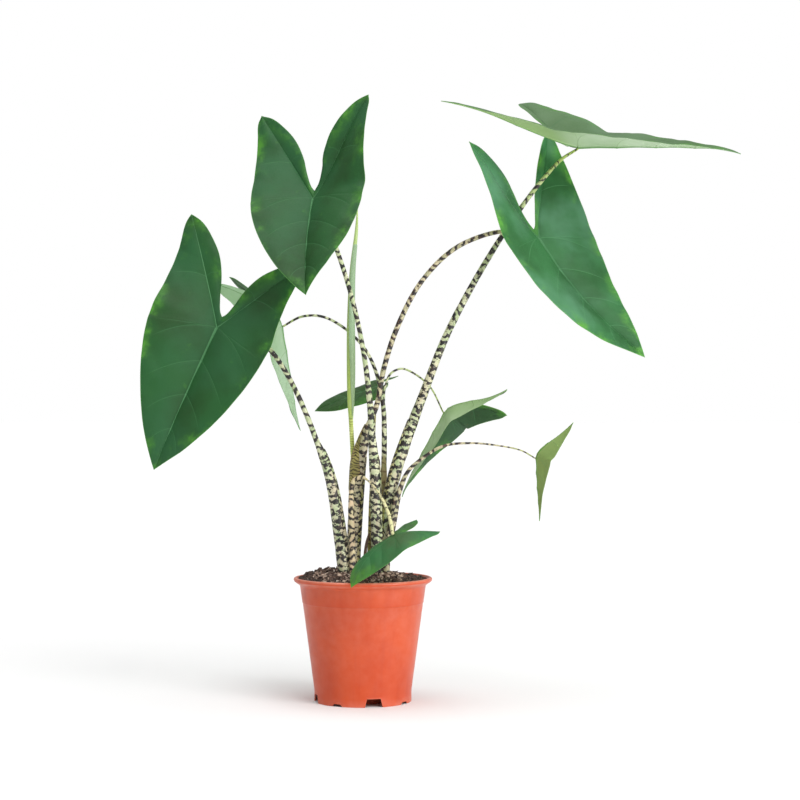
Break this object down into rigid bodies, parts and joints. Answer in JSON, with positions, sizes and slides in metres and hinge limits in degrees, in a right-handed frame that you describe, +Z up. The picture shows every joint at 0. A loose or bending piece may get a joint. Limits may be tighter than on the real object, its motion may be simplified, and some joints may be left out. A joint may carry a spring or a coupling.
{
  "type": "potted alocasia zebrina plant",
  "caption": "Aroid house plant with arrow-shaped leaves on zebra-banded stalks, standing in soil in its plastic nursery pot.",
  "frame": {"origin": "middle of the pot's flat foot disc, on the surface that the pot stands on", "axes": "+Z up; -Y is the side that the widest leaves face, +X is to their right"},
  "size_m": [0.7067, 0.2949, 0.7485],
  "materials": {
    "pot": "satin moulded terracotta-coloured plastic",
    "soil": "moist dark potting mix with light bits",
    "stalk": "fleshy leaf stalk, cream with near-black zigzag bands",
    "blade": "satin dark green leaf, paler underneath",
    "spear": "pale green rolled young leaf",
    "dry_sheath": "dry dark-brown leaf base"
  },
  "bodies": {
    "root": {"pot": "pot", "soil": "soil", "petiole_1": "stalk", "blade_1": "blade", "petiole_2": "stalk", "blade_2": "blade", "petiole_3": "stalk", "blade_3": "blade", "petiole_4": "stalk", "blade_4": "blade", "petiole_5": "stalk", "blade_5": "blade", "petiole_6": "stalk", "blade_6": "blade", "petiole_7": "stalk", "blade_7": "blade", "petiole_8": "stalk", "blade_8": "blade", "petiole_9": "stalk", "blade_9": "blade", "spear_stalk": "spear", "spear": "spear", "dry_stub": "dry_sheath"}
  },
  "joints": []
}
